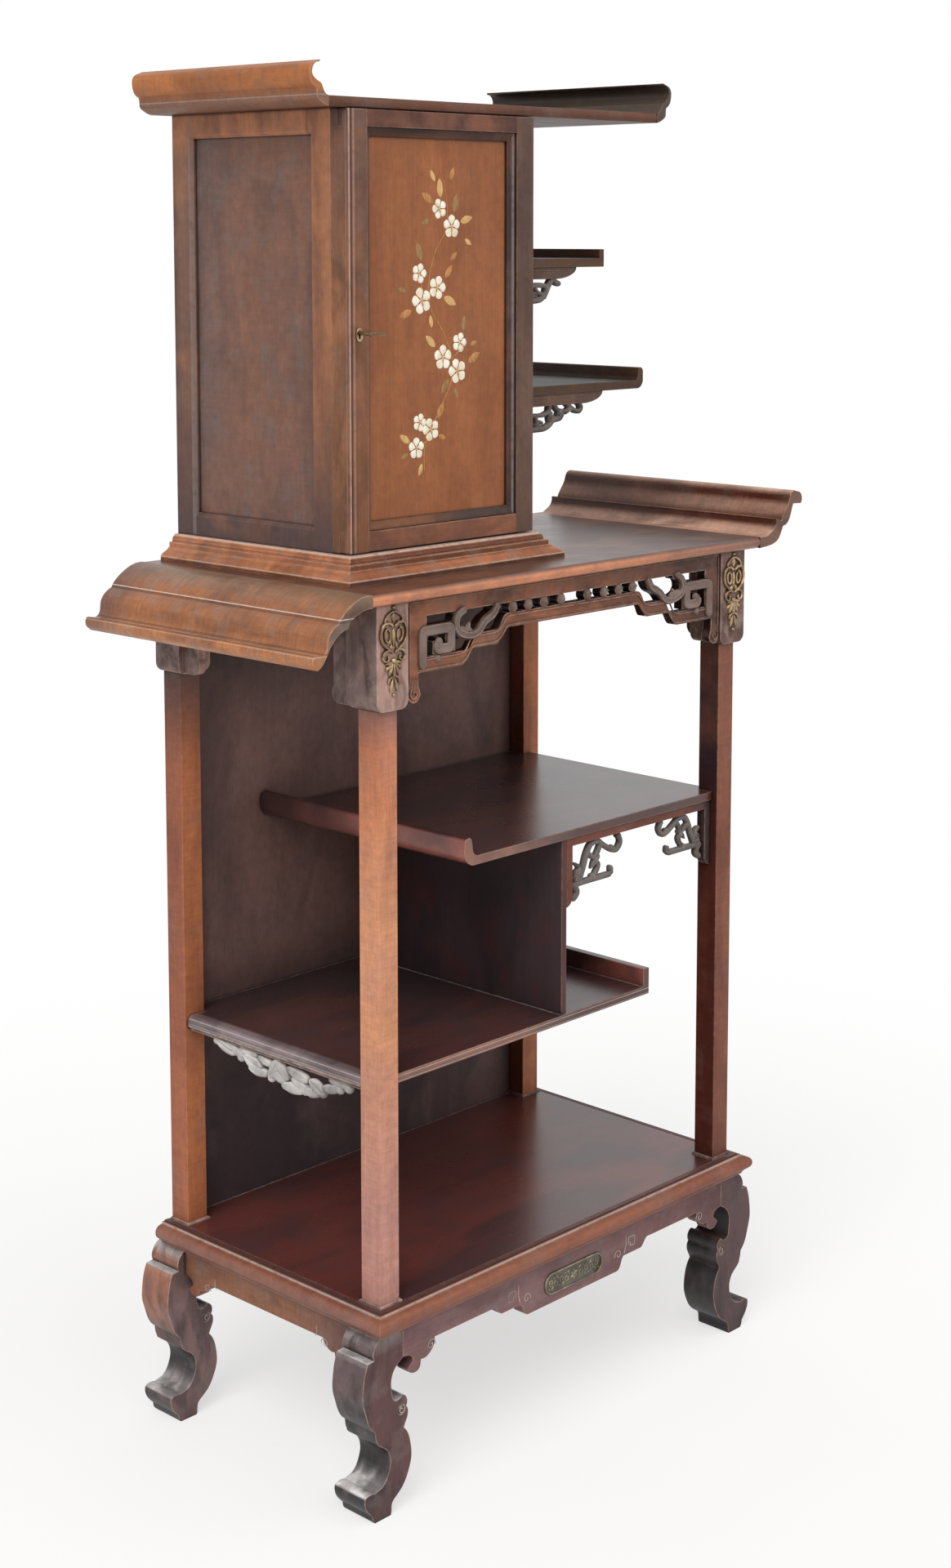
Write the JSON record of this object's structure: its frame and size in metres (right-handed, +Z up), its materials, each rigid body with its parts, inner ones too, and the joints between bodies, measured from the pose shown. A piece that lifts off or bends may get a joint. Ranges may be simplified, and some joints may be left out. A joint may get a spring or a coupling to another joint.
{
  "type": "display cabinet",
  "caption": "Tall asymmetric display cabinet: scroll-legged stand with open shelves, curled console board and a small hinged cupboard under a winged roof.",
  "frame": {"origin": "centre of the overall box at floor level", "axes": "+Z up, +Y towards the wall behind, +X to the right of someone facing the door"},
  "size_m": [0.9524, 0.4448, 1.794],
  "materials": {
    "red_wood": "worn reddish-brown stain under a satin lacquer",
    "dark_wood": "near-black brown stain, satin",
    "carved_wood": "carved wood, dark brown with grey dust in the hollows",
    "panel_wood": "orange-brown figured panel, satin",
    "bone_inlay": "polished bone with tan leaves",
    "aged_brass": "dull dark-gold brass",
    "lock_iron": "dark iron"
  },
  "bodies": {
    "cabinet": {"apron_cartouche": "aged_brass", "apron_front": "red_wood", "apron_left": "red_wood", "apron_rear": "red_wood", "apron_right": "red_wood", "back_panel": "dark_wood", "cabinet_back": "dark_wood", "cabinet_floor": "dark_wood", "cabinet_side_left": "red_wood", "cabinet_side_panels": "dark_wood", "cabinet_side_right": "red_wood", "capital_front_left": "red_wood", "capital_front_right": "red_wood", "capital_mounts": "aged_brass", "capital_rear_left": "red_wood", "capital_rear_right": "red_wood", "console_board": "red_wood", "console_end_left": "red_wood", "console_end_right": "red_wood", "fret_left": "carved_wood", "fret_right": "carved_wood", "front_frieze": "carved_wood", "hinge_leaves_cabinet": "aged_brass", "hinge_pins": "aged_brass", "leg_front_left": "red_wood", "leg_front_right": "red_wood", "leg_rear_left": "red_wood", "leg_rear_right": "red_wood", "lock_keeper": "lock_iron", "platform_board": "dark_wood", "platform_moulding": "red_wood", "plinth": "red_wood", "post_front_left": "red_wood", "post_front_right": "red_wood", "post_rear_left": "red_wood", "post_rear_right": "red_wood", "roof_board": "red_wood", "roof_scroll_left": "red_wood", "roof_scroll_right": "red_wood", "shelf_divider": "dark_wood", "shelf_edge_carving": "carved_wood", "shelf_lower": "dark_wood", "shelf_rail": "red_wood", "shelf_upper": "dark_wood", "side_console_lower": "carved_wood", "side_console_upper": "carved_wood", "side_shelf_lower": "red_wood", "side_shelf_upper": "red_wood"},
    "door": {"door_stile_left": "red_wood", "door_stile_right": "red_wood", "door_rail_top": "red_wood", "door_rail_bottom": "red_wood", "door_panel": "panel_wood", "door_moulding": "dark_wood", "door_inlay": "bone_inlay", "hinge_leaves_door": "aged_brass", "lock_case": "lock_iron", "escutcheon": "aged_brass"},
    "key": {"key": "aged_brass"},
    "bolt": {"lock_bolt": "lock_iron"}
  },
  "joints": [
    {"name": "door_hinge", "type": "hinge", "parent": "cabinet", "child": "door", "pos_m": [0.0084, -0.09535, 1.4705], "axis": [0, 0, 1], "range_deg": [0, 100]},
    {"name": "key_turn", "type": "hinge", "parent": "door", "child": "key", "pos_m": [-0.309, -0.1256, 1.4705], "axis": [0, 1, 0], "range_deg": [0, 90]},
    {"name": "bolt_slide", "type": "slide", "parent": "door", "child": "bolt", "axis": [0, 0, 1], "range_m": [0, 0.0081]}
  ],
  "couplings": [
    {"joint": "bolt_slide", "follows": "key_turn", "m_per_rad": 0.00509}
  ]
}
